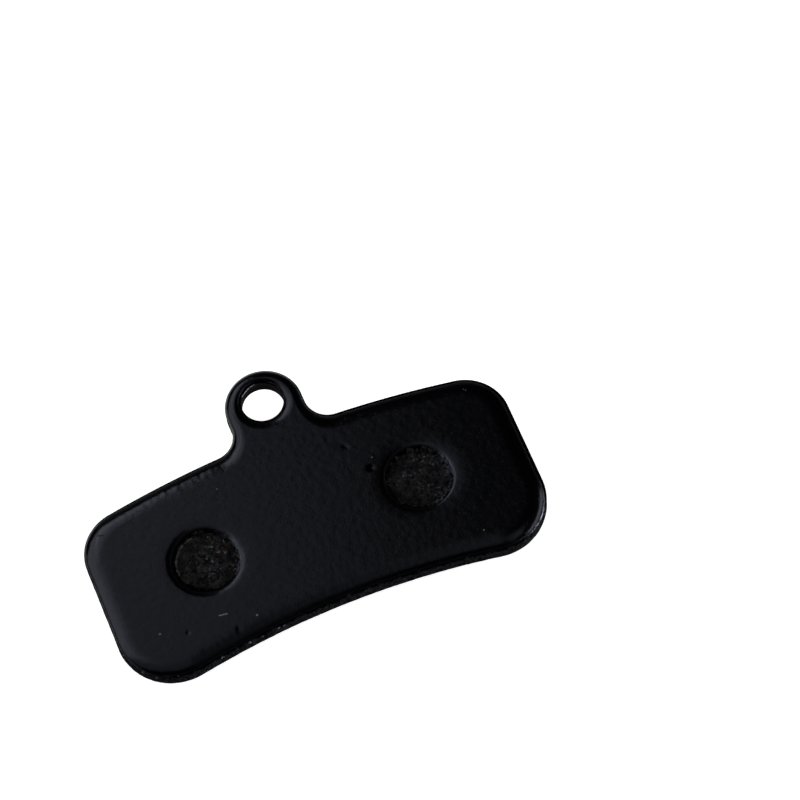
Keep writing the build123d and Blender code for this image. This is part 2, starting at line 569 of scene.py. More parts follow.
def level_line(end):
    """Points from one end of a level line to the centre line, both included."""
    count = max(FEWEST_POINTS, round(end[0] / OUTLINE_STEP))
    x = np.linspace(end[0], 0.0, count + 1)
    return raised(x[:, None], end[1])


def half_boundary(points, first, foot):
    """Boundary of the right-hand half of a loop: from the point first to the foot, back up the centre line,
    and along a level line where the first point is off that line."""
    flank = points[first : foot + 1]
    low, high = flank[-1, 1], flank[0, 1]
    count = max(FEWEST_POINTS, round((high - low) / OUTLINE_STEP))
    rise = np.linspace(low, high, count + 1)[1:]
    middle = np.stack([np.zeros_like(rise), rise], axis=1)
    if flank[0, 0] == 0.0:
        return np.concatenate([flank, middle[:-1]])
    return np.concatenate([flank, middle, level_line(flank[0])[-2:0:-1]])


def ear_boundary(points, last):
    """Boundary of the ear's part of a loop, from its mirrored to its right end, closed by a level line."""
    line = level_line(points[last])
    return np.concatenate([points[-last:], points[: last + 1], line[1:], line[-2:0:-1] * MIRROR])


def grid_faces(rows, columns, first):
    """Four-sided faces of a grid of points stored row by row from the index first, closed along its rows."""
    index = first + np.arange(rows * columns).reshape(rows, columns)
    index = np.concatenate([index, index[:, :1]], axis=1)
    corners = [index[:-1, :-1], index[1:, :-1], index[1:, 1:], index[:-1, 1:]]
    return np.stack(corners, axis=-1).reshape(-1, 4)


def make_piece(name, sheets, materials, dents=()):
    """One closed piece from sheets that share their edges, with dents pressed in along its normals."""
    points, faces, finishes, tones = [], [], [], []
    count = 0
    for sheet in sheets:
        rows, columns = sheet.points.shape[:2]
        made = grid_faces(rows, columns, count)
        points.append(sheet.points.reshape(-1, 3))
        faces.append(made)
        finishes.append(np.full(len(made), sheet.finish))
        tones.append(np.broadcast_to(sheet.tone, (rows, columns)).ravel())
        count += rows * columns
    mesh = bpy.data.meshes.new(name)
    mesh.from_pydata(np.concatenate(points).tolist(), [], np.concatenate(faces).tolist())
    mesh.polygons.foreach_set("material_index", np.concatenate(finishes).astype(np.int32))
    mesh.attributes.new(TONE, "FLOAT", "POINT").data.foreach_set("value", np.concatenate(tones))
    seams = bmesh.new()
    seams.from_mesh(mesh)
    bmesh.ops.remove_doubles(seams, verts=seams.verts, dist=MERGE_DISTANCE)
    bmesh.ops.recalc_face_normals(seams, faces=seams.faces)
    open_edges = sum(1 for edge in seams.edges if not edge.is_manifold)
    seams.to_mesh(mesh)
    seams.free()
    if open_edges:
        raise RuntimeError(f"{name} has {open_edges} open or doubled edges")
    press_dents(mesh, dents)
    mesh.polygons.foreach_set("use_smooth", np.ones(len(mesh.polygons), bool))
    mesh.set_sharp_from_angle(angle=SHARP_ANGLE)
    for material in materials:
        mesh.materials.append(material)
    piece = bpy.data.objects.new(name, mesh)
    bpy.context.scene.collection.objects.link(piece)
    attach(piece, "root")
    return piece


def press_dents(mesh, dents):
    """Press round dents into a mesh: each point moves inwards by the dent's depth, fading as a bell curve."""
    count = len(mesh.vertices)
    points = np.empty(count * 3)
    normals = np.empty(count * 3)
    mesh.vertices.foreach_get("co", points)
    mesh.vertices.foreach_get("normal", normals)
    points, normals = points.reshape(-1, 3), normals.reshape(-1, 3)
    for dent in dents:
        place = MM * np.array([dent.x, dent.y, dent.z])
        distance = np.linalg.norm(points - place, axis=1)
        points -= normals * (dent.depth * MM * np.exp(-((distance / (dent.radius * MM)) ** 2)))[:, None]
    mesh.vertices.foreach_set("co", points.ravel())
    mesh.update()


# Textures: blob width in millimetres, detail, roughness, and limits of the noise with what they map onto.
# Other tuples are limits too: of a depth below the back, of a height, of a tone or of another mask.
Texture = namedtuple("Texture", "cell detail roughness limits", defaults=[2.0, 0.5, (0.0, 1.0)])
Fleck = namedtuple("Fleck", "tint cell chosen amount")
SPOT_CORE = 0.6
INVERSE = (0.0, 1.0, 1.0, 0.0)
MIX_AMOUNT, MIX_UNDER, MIX_OVER, MIX_RESULT = 0, 6, 7, 2

# Paint
RAGGED = Texture(0.35, limits=(0.0, 1.0, 0.0, 0.15 * MM))
JAGGED = Texture(0.7, 3.0, limits=(0.0, 1.0, 0.0, 0.7 * MM))
SHEAR = Texture(0.25, 3.0, 0.6)
SHEAR_STRETCH = (1.0, 1.0, 0.4)
SHEAR_DEPTH = 0.05 * MM
SHEAR_LIGHT = (0.36, 0.64, 0.1, 1.0)
PIT_DETAIL = 1.0
PIT_LIMITS = (0.6, 0.78, 1.0, 0.0)
CHIPS = Texture(0.5, limits=(0.67, 0.71))
CHIP_TONE = (0.0, 0.3, 1.0, 0.0)
CHIP_SHARE = 0.32
# Breaks up the painted glints on chipped steel
GLINT_WEAR = Texture(0.16, limits=(0.42, 0.55))
MATT_TONE = 0.3 * MM
MATT_DEPTH = (0.6 * MM, 0.72 * MM)
WALL_DEPTH = (1.0 * MM, 1.2 * MM)
WALL_TONE = (1.2, 1.5, 1.0, 0.0)
# Scuffs that also carry a painted highlight, on the left-facing lips just below the back
SCUFF_HIGHLIGHT_PATCHES = Texture(0.5, 3.0, limits=(0.44, 0.54, 0.1, 1.0))
SCUFF_HIGHLIGHT_TONE = (0.0, -0.3)
SCUFF_HIGHLIGHT_DEPTH = (0.06 * MM, 0.16 * MM)
# Share of painted light on the pin hole's wall
BORE_PAINTED_LIGHT = (1.7, BORE_TONE, 0.0, 0.8)
POLISH_DEPTH = (0.05 * MM, 0.2 * MM)

# Lining
GROUND_HEIGHT = (0.03 * MM, 0.0)
FLASH_RISE = (1.5 * MM, 1.75 * MM)
GRIND_LEAN = math.radians(10)
LINE_STRETCH = (1.0, 0.04, 1.0)
LINES = Texture(0.16, 3.0, 0.6)
LINE_LIMITS = (0.3, 0.6, 0.5, 0.0)
LINE_DEPTH = 0.012 * MM
MOTTLE = Texture(0.9, 4.0)
BLUSH = Texture(1.5, limits=(0.45, 0.6, 0.0, 0.6))
SMUDGES = Texture(1.5, 4.0, 0.6, (0.6, 0.68, 0.0, 0.75))
DARK_GRAINS = Texture(0.3, 4.0, 0.7, (0.36, 0.56, 0.9, 0.0))
FLASH_PATCHES = Texture(1.6, 3.0, limits=(0.5, 0.66))
ROUGH = Texture(0.3, 3.0)
ROUGH_DEPTH = (0.0, 1.0, 0.06 * MM, 0.008 * MM)
DIM_COMPOUND = 0.7
DIM_LINES = 0.35
DIM_GRAINS = 0.25
DIM_MOULDED = 0.5
METAL_SHARE = 0.8
METAL_ROUGHNESS = (0.0, 1.0, 0.75, 0.4)
LINING_GLOSS = (0.0, 1.0, 0.15, 0.4)
FLECKS = (
    Fleck("copper", 0.6, 0.7, 0.5),
    Fleck("silver", 0.3, 0.7, 0.5),
    Fleck("silver", 0.6, 0.85, 0.8),
    Fleck("brass", 0.9, 0.86, 0.6),
)
FLECK_STRETCH = (1.0, 0.5, 1.0)
FLECK_STEP = 0.01
FLECK_SIZES = (0.0, 1.0, 0.06, 0.32)
FLECK_GRAINS = 3
FLECK_RAGGED = (0.3, 0.7, -0.12, 0.12)
FLECK_FADE = (0.0, 0.06)

# Plugs
PLUG_GRAINS = Texture(0.45, 3.0)
PLUG_GRAIN_DEPTH = 0.06 * MM
PLUG_GRAIN_LIGHT = (0.35, 0.65, 0.4, 1.0)
PLUG_PATCHES = Texture(1.1, limits=(0.42, 0.58, 0.6, 1.0))
PLUG_PITS = Texture(0.26, limits=(0.36, 0.46, 0.3, 1.0))
# Painted shade: how dark the plug colour gets in the groove
GROOVE_PAINTED_SHADE = (1.1, 1.8, 1.0, 0.1)
CLUSTERS = Texture(1.8, 1.0, limits=(0.41, 0.55))
CLUSTER_TONE = (0.8, 0.5)
CRUMBS = Texture(0.3, limits=(0.53, 0.6))
PALE_CRUMBS = Texture(0.34, limits=(0.62, 0.72))
PALE_SHARE = 0.16
# Breaks up the painted highlight on the left plug's rim
RIM_HIGHLIGHT_BREAKUP = Texture(0.3, limits=(0.3, 0.5))
RIM_HIGHLIGHT_CORE = 0.3
WARM_CORE = 0.2
# Patches of scuff colour with a painted highlight on the right plug's ragged rim
PALE_HIGHLIGHT_PATCHES = Texture(0.4, 3.0, limits=(0.4, 0.52))
PALE_HIGHLIGHT_TONE = (-0.2, -0.9)
PLUG_ROUGHNESS = 0.55
PLUG_GLOSS = 0.1


def add(kind, inputs, **settings):
    """New node: its inputs are constants and the sockets that feed it, and settings are its own values."""
    source = next(value for value in inputs.values() if isinstance(value, bpy.types.NodeSocket))
    made = source.id_data.nodes.new(kind)
    for key, value in settings.items():
        setattr(made, key, value)
    for key, value in inputs.items():
        connect(made.inputs[key], value)
    return made.outputs


def connect(socket, value):
    """Feed a socket from another socket, or set it to a constant."""
    if isinstance(value, bpy.types.NodeSocket):
        socket.id_data.links.new(value, socket)
    elif socket.type == "RGBA":
        socket.default_value = (*value, 1.0)
    else:
        socket.default_value = value


def new_material(name):
    """New material and its nodes."""
    material = bpy.data.materials.new(name)
    material.use_nodes = True
    return material, material.node_tree.nodes


def tone_of(nodes):
    """Tone of each point of a piece."""
    reader = nodes.new("ShaderNodeAttribute")
    reader.attribute_name = TONE
    return reader.outputs["Fac"]


def finish_shader(nodes, **inputs):
    """Set the shader's inputs by their names, written with underscores."""
    shader = nodes["Principled BSDF"]
    for key, value in inputs.items():
        connect(shader.inputs[key.replace("_", " ")], value)


def stretched(place, scale, lean=0.0):
    """Coordinates turned about Z and then scaled along each axis."""
    inputs = {"Vector": place, "Rotation": (0.0, 0.0, lean), "Scale": scale}
    return add("ShaderNodeMapping", inputs)["Vector"]


def ramp(value, low, high, to_low=0.0, to_high=1.0):
    """Value from low to high mapped onto another range, and held there outside it."""
    limits = {"Value": value, "From Min": low, "From Max": high, "To Min": to_low, "To Max": to_high}
    return add("ShaderNodeMapRange", limits, clamp=True)["Result"]


def combine(operation, *values):
    """Numbers put together from the first to the last."""
    total = values[0]
    for value in values[1:]:
        total = add("ShaderNodeMath", {0: total, 1: value}, operation=operation)["Value"]
    return total


def times(*values):
    """Product of numbers."""
    return combine("MULTIPLY", *values)


def largest(*values):
    """Largest of some numbers."""
    return combine("MAXIMUM", *values)


def texture(place, kind):
    """Noise with blobs of about one width, mapped between its limits."""
    scale = 1 / (kind.cell * MM)
    inputs = {"Vector": place, "Scale": scale, "Detail": kind.detail, "Roughness": kind.roughness}
    return ramp(add("ShaderNodeTexNoise", inputs)["Fac"], *kind.limits)


def layered(tint, *layers):
    """Colour with layers over it, each given by its amount and its own colour."""
    for amount, cover in layers:
        inputs = {MIX_AMOUNT: amount, MIX_UNDER: tint, MIX_OVER: cover}
        tint = add("ShaderNodeMix", inputs, data_type="RGBA")[MIX_RESULT]
    return tint


def bump(height, depth, normal=None):
    """Normal of a surface with that height texture, where depth is the height of its full range."""
    inputs = {"Height": height, "Distance": depth, "Strength": 1.0}
    if normal is not None:
        inputs["Normal"] = normal
    return add("ShaderNodeBump", inputs)["Normal"]


def spots(place, marks, core=SPOT_CORE):
    """Mask of round spots that are full inside a core and fade out to their rims."""
    total = 0.0
    for mark in marks:
        centre = (mark.x * MM, mark.y * MM, mark.z * MM)
        away = add("ShaderNodeVectorMath", {0: place, 1: centre}, operation="DISTANCE")["Value"]
        spot = ramp(away, mark.radius * MM, core * mark.radius * MM)
        total = largest(total, spot)
    return total


def dimmed(tint, amount):
    """Colour times a number."""
    return tuple(amount * value for value in tint)


def paint_material(finish):
    """Semi-gloss black paint with a fine orange peel, and dusty sheared edges with chips.

    Painted light: the scuff colour on the left-facing lips of the keying holes is also a painted highlight,
    the paler paint on the pin hole's wall is painted light, and the listed steel spots on the lower edge and
    in the pin hole are painted glints on chipped steel.
    """
    material, nodes = new_material("plate_paint")
    place = nodes.new("ShaderNodeTexCoord").outputs["Object"]
    tone = tone_of(nodes)
    height = add("ShaderNodeSeparateXYZ", {"Vector": place})["Z"]
    depth = combine("SUBTRACT", PLATE_BACK_Z, height)
    below = combine("ADD", depth, texture(place, RAGGED))
    matt = combine("ADD", below, times(tone, MATT_TONE))
    edge = ramp(matt, *MATT_DEPTH)
    wall = ramp(combine("ADD", below, texture(place, JAGGED)), *WALL_DEPTH)
    wall = times(wall, ramp(tone, *WALL_TONE))
    peel = texture(place, Texture(finish.peel / MM))
    pits = texture(place, Texture(finish.pit / MM, PIT_DETAIL, limits=PIT_LIMITS))
    shear = texture(stretched(place, SHEAR_STRETCH), SHEAR)
    normal = bump(peel, finish.peel_depth)
    normal = bump(pits, finish.pit_depth, normal)
    normal = bump(times(shear, wall), SHEAR_DEPTH, normal)
    chips = times(texture(place, CHIPS), wall, ramp(tone, *CHIP_TONE))
    # Steel colour: the noise chips are bare steel, and the listed spots are painted glints on chipped steel
    glint_wear = texture(place, GLINT_WEAR)
    glint_chips_mask = times(spots(place, GLINT_CHIPS), glint_wear)
    glint_streak_mask = times(spots(place, GLINT_STREAK), glint_wear)
    bare = times(largest(chips, glint_chips_mask), CHIP_SHARE)
    bare = largest(bare, glint_streak_mask)
    mottled = times(wall, ramp(shear, *SHEAR_LIGHT))
    # Scuff colour with a painted highlight on the left-facing lips of the keying holes
    scuff_and_highlight_mask = times(ramp(tone, *SCUFF_HIGHLIGHT_TONE), ramp(depth, *SCUFF_HIGHLIGHT_DEPTH))
    scuff_and_highlight_mask = times(scuff_and_highlight_mask, texture(place, SCUFF_HIGHLIGHT_PATCHES))
    tint = layered(
        finish.paint,
        (mottled, finish.edge),
        (spots(place, SPECKS), finish.dust),
        (scuff_and_highlight_mask, finish.scuff_and_highlight),
        # Paler paint on the pin hole's wall: painted light
        (ramp(tone, *BORE_PAINTED_LIGHT), finish.bore_painted_light),
        (bare, finish.steel),
    )
    polished = times(spots(place, POLISHED), ramp(depth, *POLISH_DEPTH))
    gloss = ramp(polished, 0.0, 1.0, finish.gloss, finish.polish)
    dull = largest(edge, spots(place, VOIDS))
    finish_shader(
        nodes,
        Base_Color=tint,
        Roughness=ramp(edge, 0.0, 1.0, finish.roughness, finish.edge_roughness),
        Specular_IOR_Level=times(gloss, ramp(dull, *INVERSE)),
        Specular_Tint=finish.sheen,
        Normal=normal,
    )
    return material


def lining_material(finish):
    """Resin compound: brown-grey ground face with flecks and grinding lines, and dark walls and flash."""
    material, nodes = new_material("lining_compound")
    place = nodes.new("ShaderNodeTexCoord").outputs["Object"]
    height = add("ShaderNodeSeparateXYZ", {"Vector": place})["Z"]
    ground = ramp(height, *GROUND_HEIGHT)
    mottle = texture(place, MOTTLE)
    lines = texture(stretched(place, LINE_STRETCH, GRIND_LEAN), LINES)
    face = layered(
        dimmed(finish.compound, DIM_COMPOUND),
        (mottle, finish.compound),
        (texture(place, BLUSH), finish.blush),
        (ramp(lines, *LINE_LIMITS), dimmed(finish.compound, DIM_LINES)),
        (texture(place, SMUDGES), finish.smudge),
        (texture(place, DARK_GRAINS), dimmed(finish.compound, DIM_GRAINS)),
    )
    metal = 0.0
    narrow = stretched(place, FLECK_STRETCH, GRIND_LEAN)
    for fleck in FLECKS:
        mask = flecks(narrow, fleck)
        face = layered(face, (mask, getattr(finish, fleck.tint)))
        metal = largest(metal, mask)
    metal = times(metal, ground)
    squeezed = times(texture(place, FLASH_PATCHES), ramp(height, *FLASH_RISE))
    tint = layered(
        dimmed(finish.moulded, DIM_MOULDED),
        (mottle, finish.moulded),
        (squeezed, finish.flash),
        (ground, face),
    )
    normal = bump(texture(place, ROUGH), ramp(ground, *ROUGH_DEPTH))
    normal = bump(times(lines, ground), LINE_DEPTH, normal)
    finish_shader(
        nodes,
        Base_Color=tint,
        Metallic=times(metal, METAL_SHARE),
        Roughness=ramp(metal, *METAL_ROUGHNESS),
        Specular_IOR_Level=ramp(ground, *LINING_GLOSS),
        Normal=normal,
    )
    return material


def flecks(place, fleck):
    """Mask of ragged flecks of many sizes, in each random cell whose own random number is over a limit."""
    cells = add("ShaderNodeTexVoronoi", {"Vector": place, "Scale": 1 / (fleck.cell * MM)})
    numbers = add("ShaderNodeSeparateColor", {"Color": cells["Color"]})
    picked = ramp(numbers["Red"], fleck.chosen, fleck.chosen + FLECK_STEP)
    reach = ramp(numbers["Green"], *FLECK_SIZES)
    ragged = texture(place, Texture(fleck.cell / FLECK_GRAINS, limits=FLECK_RAGGED))
    inside = combine("SUBTRACT", reach, cells["Distance"], ragged)
    return times(picked, ramp(inside, *FLECK_FADE), fleck.amount)


def plug_material(finish):
    """Rough face of the plugs: dark pitted grains, clusters of pale crumbs and a warm patch, with painted
    light.

    Crumbs thin out in painted shade towards the left rim, the groove is painted dark as shade, a painted
    highlight arcs along the left plug's left rim, and scuff colour with a painted highlight lies on the
    ragged rim of the right plug.
    """
    material, nodes = new_material("plug_compound")
    place = nodes.new("ShaderNodeTexCoord").outputs["Object"]
    tone = tone_of(nodes)
    grains = texture(place, PLUG_GRAINS)
    patches = times(texture(place, PLUG_PATCHES), texture(place, PLUG_PITS))
    light = times(ramp(grains, *PLUG_GRAIN_LIGHT), patches)
    # Painted shade: the plug colour darkens in the groove, and crumb clusters thin out towards the shaded
    # left rim
    light = times(light, ramp(tone, *GROOVE_PAINTED_SHADE))
    cluster = times(texture(place, CLUSTERS), ramp(tone, *CLUSTER_TONE))
    crumbs = times(texture(place, CRUMBS), cluster)
    pale = times(texture(place, PALE_CRUMBS), cluster)
    # Painted highlight: a pale arc on the left rim of the left plug
    rim = times(spots(place, RIM_HIGHLIGHT_MARKS, RIM_HIGHLIGHT_CORE), texture(place, RIM_HIGHLIGHT_BREAKUP))
    # Scuff colour with a painted highlight on the ragged rim of the right plug
    lip = times(texture(place, PALE_HIGHLIGHT_PATCHES), ramp(tone, *PALE_HIGHLIGHT_TONE))
    tint = layered(
        BLACK,
        (light, finish.plug),
        (spots(place, WARM_PATCHES, WARM_CORE), finish.warm),
        (crumbs, finish.crumb),
        (pale, dimmed(finish.steel, PALE_SHARE)),
        (lip, finish.scuff_and_highlight),
        (rim, finish.rim),
    )
    finish_shader(
        nodes,
        Base_Color=tint,
        Roughness=PLUG_ROUGHNESS,
        Specular_IOR_Level=times(light, PLUG_GLOSS),
        Normal=bump(grains, PLUG_GRAIN_DEPTH),
    )
    return material


class BRAKEPAD_OT_plate(bpy.types.Operator):
    """Build the stamped and painted backing plate"""

    bl_idname = "brakepad.plate"
    bl_label = "Backing Plate"

    def execute(self, context):
        plate = context.scene.brakepad_plate
        band = plate_band(plate)
        ear, root_touch = ear_flank(plate, band)
        loop = closed_loop(ear + band_flank(band, root_touch), band.axle_y + band.inner)
        foot = len(loop.points) // 2
        head, stem, root = (len(stretch[0]) for stretch in ear)
        body = body_share(loop, head + stem, root)
        width = plate.ear_roll_width + body * (plate.roll_width - plate.ear_roll_width)
        depth = plate.ear_roll_depth + body * (plate.roll_depth - plate.ear_roll_depth)
        inner = loop.points - width[:, None] * loop.normals
        seen = directions(inner[: head + stem + root], key_hole(plate, 1).centre)
        cut = int(np.argmin(seen[:, 0]))
        sheets = [Sheet(edge_sheet(plate, loop, width, depth), tone=edge_dullness(loop.normals))]
        right = half_boundary(inner, cut, foot)
        for hole, boundary, rows, least, wall_tone in (
            (key_hole(plate, 1), right, FACE_ROWS, KEY_LIP_TONE, LIP_TONE),
            (key_hole(plate, -1), right * MIRROR, FACE_ROWS, KEY_LIP_TONE, LIP_TONE),
            (pin_hole(plate), ear_boundary(inner, cut), EAR_ROWS, PIN_LIP_TONE, BORE_TONE),
        ):
            direction = directions(boundary, hole.centre)
            mouth = hole.radius + mouth_width(hole, direction)
            back = spokes(boundary, hole, mouth, rows, FACE_CROWDING)
            face = spokes(boundary, hole, hole.radius, FLAT_ROWS)
            sheets += [
                Sheet(raised(back, PLATE_BACK_Z)),
                lip_sheet(hole, direction, least, wall_tone),
                Sheet(raised(face, PLATE_FACE_Z)),
            ]
        piece = make_piece("painted_plate", sheets, [paint_material(context.scene.brakepad_finishes)], DENTS)
        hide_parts("backing_plate")
        return {"FINISHED"}


def body_share(loop, first, count):
    """How much each point of the plate's loop belongs to the body: a smooth step along the root of the ear.

    The root has count points from the point first on, and the same on the mirrored side.
    """
    order = np.arange(len(loop.points))
    order = np.minimum(order, len(loop.points) - order)
    return smooth((order - first) / count)


def edge_dullness(facing):
    """How matt an edge roll is: it grows the more the roll faces up and right, or straight down."""
    foot = FOOT_TONE * fade(facing[:, 1], *FOOT_FACING)
    return np.maximum(np.clip(EDGE_TONE * facing.sum(axis=1), 0, 1), foot)


def lip_dullness(facing, least):
    """How matt the paint on a hole's lip is: it is least where the lip faces left."""
    return least + (LIP_TONE - least) * fade(facing[:, 0], *LIP_FACING)


def edge_sheet(plate, loop, width, depth):
    """Rim of the plate: the roll from the back face, the torn wall and the broken edge on the lining side.

    The roll is a quarter ellipse with small teeth along it, which are largest where it faces up. The wall is
    pressed in by grain noise along it.
    """
    along = run_length(loop)[None]
    angle = np.linspace(0, math.pi / 2, ROLL_ROWS + 1)[:, None]
    bite = TOOTH_LEAST + TOOTH_EXTRA * np.clip(loop.normals[:, 1], 0, 1)
    teeth = 1 + bite * field(along, 0 * along, EDGE_TEETH) * np.sin(2 * angle)
    roll_inset = width * (1 - np.sin(angle)) * teeth
    roll = PLATE_BACK_Z - depth * (1 - np.cos(angle))
    down = np.linspace(0, 1, WALL_ROWS + 1)[1:, None]
    wall = roll[-1] + down * (PLATE_FACE_Z + plate.edge_break - roll[-1])
    wall_inset = plate.edge_scar * field(along, TEAR_STRETCH * wall, EDGE_TEARS)
    level = np.full_like(width, PLATE_FACE_Z)
    insets = [roll_inset, wall_inset, [wall_inset[-1] + plate.edge_break], [width]]
    return carried(loop, np.concatenate(insets), np.concatenate([roll, wall, [level], [level]]))


class BRAKEPAD_OT_lining(bpy.types.Operator):
    """Build the friction lining with its walls, squeezed-out flash and plugs"""

    bl_idname = "brakepad.lining"
    bl_label = "Friction Lining"

    def execute(self, context):
        plate = context.scene.brakepad_plate
        lining = context.scene.brakepad_lining
        finishes = context.scene.brakepad_finishes
        band = lining_band(plate, lining)
        loop = closed_loop(band_flank(band, math.pi / 2), band.axle_y + band.inner)
        wall, flash = wall_sheets(lining, loop)
        toward = np.linspace(1, 0, FLAT_ROWS + 1)[:, None, None]
        sheets = [Sheet(raised(wall[0, :, :2] * toward, 0.0)), Sheet(wall), Sheet(flash)]
        root, foot = flash[-1, :, :2], len(loop.points) // 2
        right = half_boundary(root, 0, foot)
        left = half_boundary(np.roll(root[::-1], 1, axis=0) * MIRROR, 0, foot) * MIRROR
        for plug, boundary in zip(PLUGS, (right, left)):
            hole = key_hole(plate, plug.side)
            cap = spokes(boundary, hole, hole.radius, FLAT_ROWS)
            sheets.append(Sheet(raised(cap, PLATE_FACE_Z)))
            sheets += plug_sheets(lining, plug, hole, directions(boundary, hole.centre))
        piece = make_piece("friction_block", sheets, [lining_material(finishes), plug_material(finishes)])
        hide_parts("friction_lining")
        return {"FINISHED"}


def wall_sheets(lining, loop):
    """Drafted wall of the lining with its grain, and the skin of flash from its root out over the plate.

    The wall is pressed in by grain noise that fades out at both of its edges, and it crumbles at the friction
    face. The flash is widest at the ends, along the top and at the ear, and thins out to a ragged edge.
    """
    along = run_length(loop)
    x, y = loop.points.T
    upward, sideways = np.maximum(loop.normals[:, 1], 0), np.abs(loop.normals[:, 0])
    reach = FLASH_LEAST + upward + FLASH_ENDS * sideways
    reach += FLASH_EAR * upward * np.exp(-((x / FLASH_EAR_WIDTH) ** 2))
    width = lining.flash_width * reach * field(x, y, FLASH_EDGE)
    root = lining.flash_height * field(x, y, FLASH_ROOT)
    rise = np.linspace(0, 1, WALL_ROWS + 1)[:, None]
    heights = rise * (PLATE_FACE_Z - root)
    rough = lining.grain * field(along[None] + 0 * rise, heights, WALL_GRAIN)
    crumbled = lining.grain * field(x, y, WALL_CRUMBLE) * (1 - fade(rise, 0, CRUMBLE_RISE))
    insets = -heights * math.tan(lining.draft) + rough * np.sin(np.pi * rise) + crumbled
    wall = carried(loop, insets, heights)
    out = np.linspace(0, 1, WALL_ROWS + 1)[:, None]
    lumps = 1 + field(x + width * out, y + width * out, FLASH_LUMPS) * np.sin(np.pi * out)
    flash = carried(loop, insets[-1] - width * out, PLATE_FACE_Z - root * (1 - out**FLASH_CURVE) * lumps)
    return wall, flash


def plug_sheets(lining, plug, hole, direction):
    """Shaft of one plug, the skirt where compound crept up the lip, and the rough top.

    The top is a polar grid at the plug's level plus grain noise. Its rim follows the skirt on the ragged
    side, and on the other side it falls into a groove where the compound shrank from the hole.
    """
    ring = hole.centre + hole.radius * direction
    lean = direction @ np.array([math.cos(plug.ragged), math.sin(plug.ragged)])
    creep = np.maximum(fade(lean, *CLIMB_SIDE), 1 - plug.gap)
    climb = lining.climb * creep * field(*ring.T, PLUG_CLIMB)
    shrunk = plug.gap * fade(lean, *GROOVE_SIDE)
    groove = lining.groove * shrunk * field(*ring.T, PLUG_GROOVE)
    up = np.linspace(0, 1, HIDDEN_ROWS + 1)[:, None]
    width = lip_width(hole, direction)
    foot = lip_height(hole, width, hole.radius) - groove
    stacked = np.broadcast_to(ring, (HIDDEN_ROWS + 1,) + ring.shape)
    shaft = raised(stacked, PLATE_FACE_Z + up * (foot - PLATE_FACE_Z))
    skirt_radius = hole.radius + climb * up
    skirt_height = lip_height(hole, width, skirt_radius) - groove
    skirt = raised(hole.centre + skirt_radius[..., None] * direction, skirt_height)
    reach = 1 - np.linspace(0, 1, PLUG_ROWS + 1)[:, None] ** PLUG_CROWDING
    top = hole.centre + (reach * skirt_radius[-1])[..., None] * direction
    grains = lining.grain * field(top[..., 0], top[..., 1], PLUG_RELIEF)
    grains[-1] = grains[-1].mean()
    surface = PLUG_TOP_Z + grains
    edge = field(*ring.T, plug.edge)
    rim = fade(reach, edge, (1 + edge) / 2)
    # Tone of the plug: painted shade towards its left rim and in the groove, and a painted highlight on the
    # rim of the ragged side
    shade_and_highlight = reach * fade(direction[:, 0], *SHADE_SIDE) + RIM_TONE * rim * shrunk
    shade_and_highlight = shade_and_highlight - RIM_TONE * plug.pale * rim * fade(lean, *PALE_HIGHLIGHT_SIDE)
    surface = surface + (skirt[-1, :, 2] - surface) * rim
    seen = [Sheet(skirt, PLUG_FINISH, shade_and_highlight[0]), Sheet(raised(top, surface), PLUG_FINISH, shade_and_highlight)]
    return [Sheet(shaft)] + seen


class BRAKEPAD_OT_stage(bpy.types.Operator):
    """Set up the floor, the lamps and the camera"""

    bl_idname = "brakepad.stage"
    bl_label = "Stage"

    def execute(self, context):
        stage = context.scene.brakepad_stage
        make_floor(stage)
        make_lamps(stage)
        make_camera(context.scene, stage)
        context.scene.view_settings.view_transform = "Standard"
        return {"FINISHED"}


FLOOR_HALF_WIDTH = 3.0
FLOOR_Z = -0.02 * MM
FLOOR_ROUGHNESS = 0.9
FLOOR_GLOSS = 0.1
SENSOR_WIDTH = 36.0


def make_floor(stage):
    """Flat pale floor that comes out white where it is seen and keeps the pad's shadow."""
    edge = FLOOR_HALF_WIDTH
    mesh = bpy.data.meshes.new("floor")
    corners = [(-edge, -edge, FLOOR_Z), (edge, -edge, FLOOR_Z), (edge, edge, FLOOR_Z), (-edge, edge, FLOOR_Z)]
    mesh.from_pydata(corners, [], [(0, 1, 2, 3)])
    floor = bpy.data.objects.new("floor", mesh)
    bpy.context.scene.collection.objects.link(floor)
    material, nodes = new_material("pale_floor")
    path = nodes.new("ShaderNodeLightPath").outputs
    seen = largest(path["Is Camera Ray"], path["Is Glossy Ray"], path["Is Transmission Ray"])
    finish_shader(
        nodes,
        Base_Color=stage.floor,
        Roughness=FLOOR_ROUGHNESS,
        Specular_IOR_Level=FLOOR_GLOSS,
        Emission_Color=WHITE,
        Emission_Strength=times(seen, stage.floor_lift),
    )
    mesh.materials.append(material)


